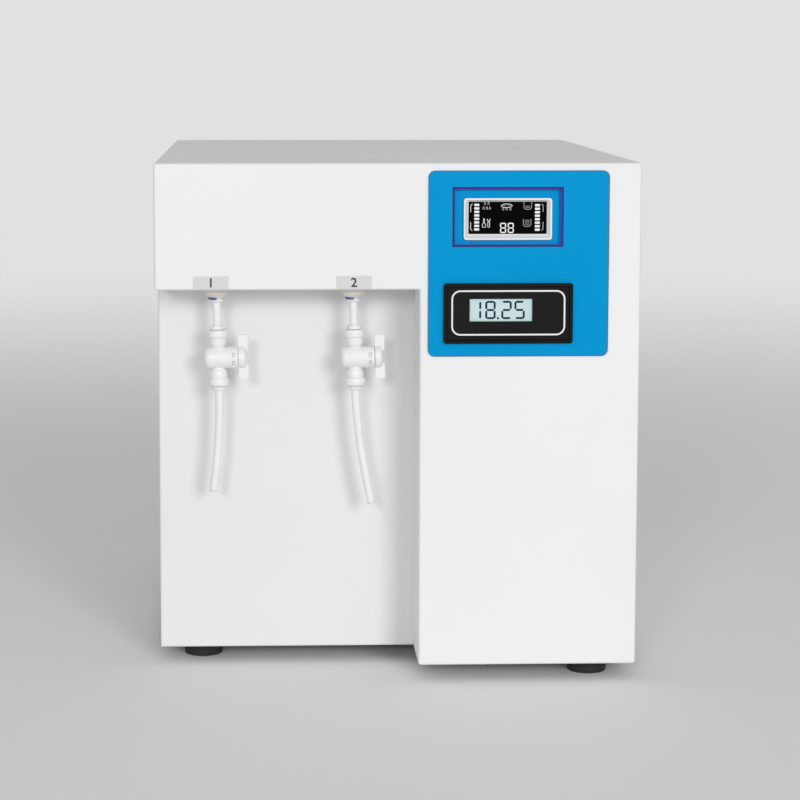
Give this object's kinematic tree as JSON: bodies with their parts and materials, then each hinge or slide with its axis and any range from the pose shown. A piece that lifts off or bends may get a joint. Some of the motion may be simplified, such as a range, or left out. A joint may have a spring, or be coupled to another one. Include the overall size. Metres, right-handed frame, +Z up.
{
  "type": "ultrapure water system",
  "caption": "Bench-top ultrapure water system with an open dispensing alcove, push-fit ball valve outlets and a blue control panel.",
  "frame": {"origin": "on the bench under the middle of the whole machine", "axes": "+X to the right seen from the front, the front face looks along -Y, +Z up"},
  "size_m": [0.36, 0.4646, 0.39],
  "materials": {
    "white_enamel": "smooth satin powder coat",
    "galvanised": "bare zinc-coated sheet",
    "rubber": "matte",
    "panel_blue": "printed acrylic, satin",
    "pocket_violet": "satin",
    "bezel_white": "satin",
    "display_black": "glossy",
    "board": "satin solder mask",
    "meter_black": "satin",
    "meter_glass": "glossy",
    "fitting_white": "satin moulded acetal",
    "fitting_ivory": "satin moulded acetal",
    "clip_blue": "satin",
    "tube_white": "smooth, slightly translucent",
    "cartridge_white": "satin",
    "pump": "black painted",
    "power_case": "satin",
    "switch_black": "fine grain"
  },
  "bodies": {
    "cabinet": {"alcove_panel": "white_enamel", "base_pan": "galvanised", "booster_pump": "pump", "carbon_cartridge": "cartridge_white", "cartridge_rack": "galvanised", "conductivity_cell": "fitting_white", "control_panel_plate": "panel_blue", "controller_board": "board", "display_bezel": "bezel_white", "display_glass": "display_black", "display_pocket_floor": "panel_blue", "display_pocket_frame": "pocket_violet", "drain_port": "fitting_white", "feed_port": "fitting_white", "feed_solenoid_valve": "switch_black", "front_fascia": "white_enamel", "front_left_foot": "rubber", "front_right_foot": "rubber", "left_bulkhead": "fitting_ivory", "left_bulkhead_collet": "fitting_white", "left_bulkhead_nut": "fitting_ivory", "left_locking_clip": "clip_blue", "left_outlet_tube": "tube_white", "left_riser_tube": "tube_white", "left_supply_tube": "tube_white", "left_valve_body": "fitting_white", "left_valve_lower_collet": "fitting_white", "left_valve_upper_collet": "fitting_white", "membrane_housing": "cartridge_white", "membrane_union": "fitting_white", "meter_case": "meter_black", "meter_face": "meter_black", "meter_glass": "meter_glass", "polishing_cartridge_1": "cartridge_white", "polishing_cartridge_2": "cartridge_white", "power_inlet": "switch_black", "power_supply": "power_case", "rear_left_foot": "rubber", "rear_panel": "white_enamel", "rear_right_foot": "rubber", "right_bulkhead": "fitting_ivory", "right_bulkhead_collet": "fitting_white", "right_bulkhead_nut": "fitting_ivory", "right_locking_clip": "clip_blue", "right_outlet_tube": "tube_white", "right_riser_tube": "tube_white", "right_supply_tube": "tube_white", "right_valve_body": "fitting_white", "right_valve_lower_collet": "fitting_white", "right_valve_upper_collet": "fitting_white", "sediment_cartridge": "cartridge_white", "tank_port": "fitting_white", "wrap_cover": "white_enamel"},
    "left_valve_core": {"left_valve_ball": "fitting_white", "left_valve_handle": "fitting_white"},
    "right_valve_core": {"right_valve_ball": "fitting_white", "right_valve_handle": "fitting_white"},
    "power_rocker_body": {"power_rocker": "switch_black"}
  },
  "joints": [
    {"name": "left_valve_turn", "type": "hinge", "parent": "cabinet", "child": "left_valve_core", "pos_m": [-0.13362, -0.19815, 0.24251], "axis": [0.9997, 0, 0.025], "range_deg": [0, 90]},
    {"name": "right_valve_turn", "type": "hinge", "parent": "cabinet", "child": "right_valve_core", "pos_m": [-0.03092, -0.19815, 0.24251], "axis": [0.9997, 0, 0.025], "range_deg": [0, 90]},
    {"name": "power_rocker_tilt", "type": "hinge", "parent": "cabinet", "child": "power_rocker_body", "pos_m": [-0.095, 0.22355, 0.0895], "axis": [1, 0, 0], "range_deg": [-16, 0]}
  ]
}
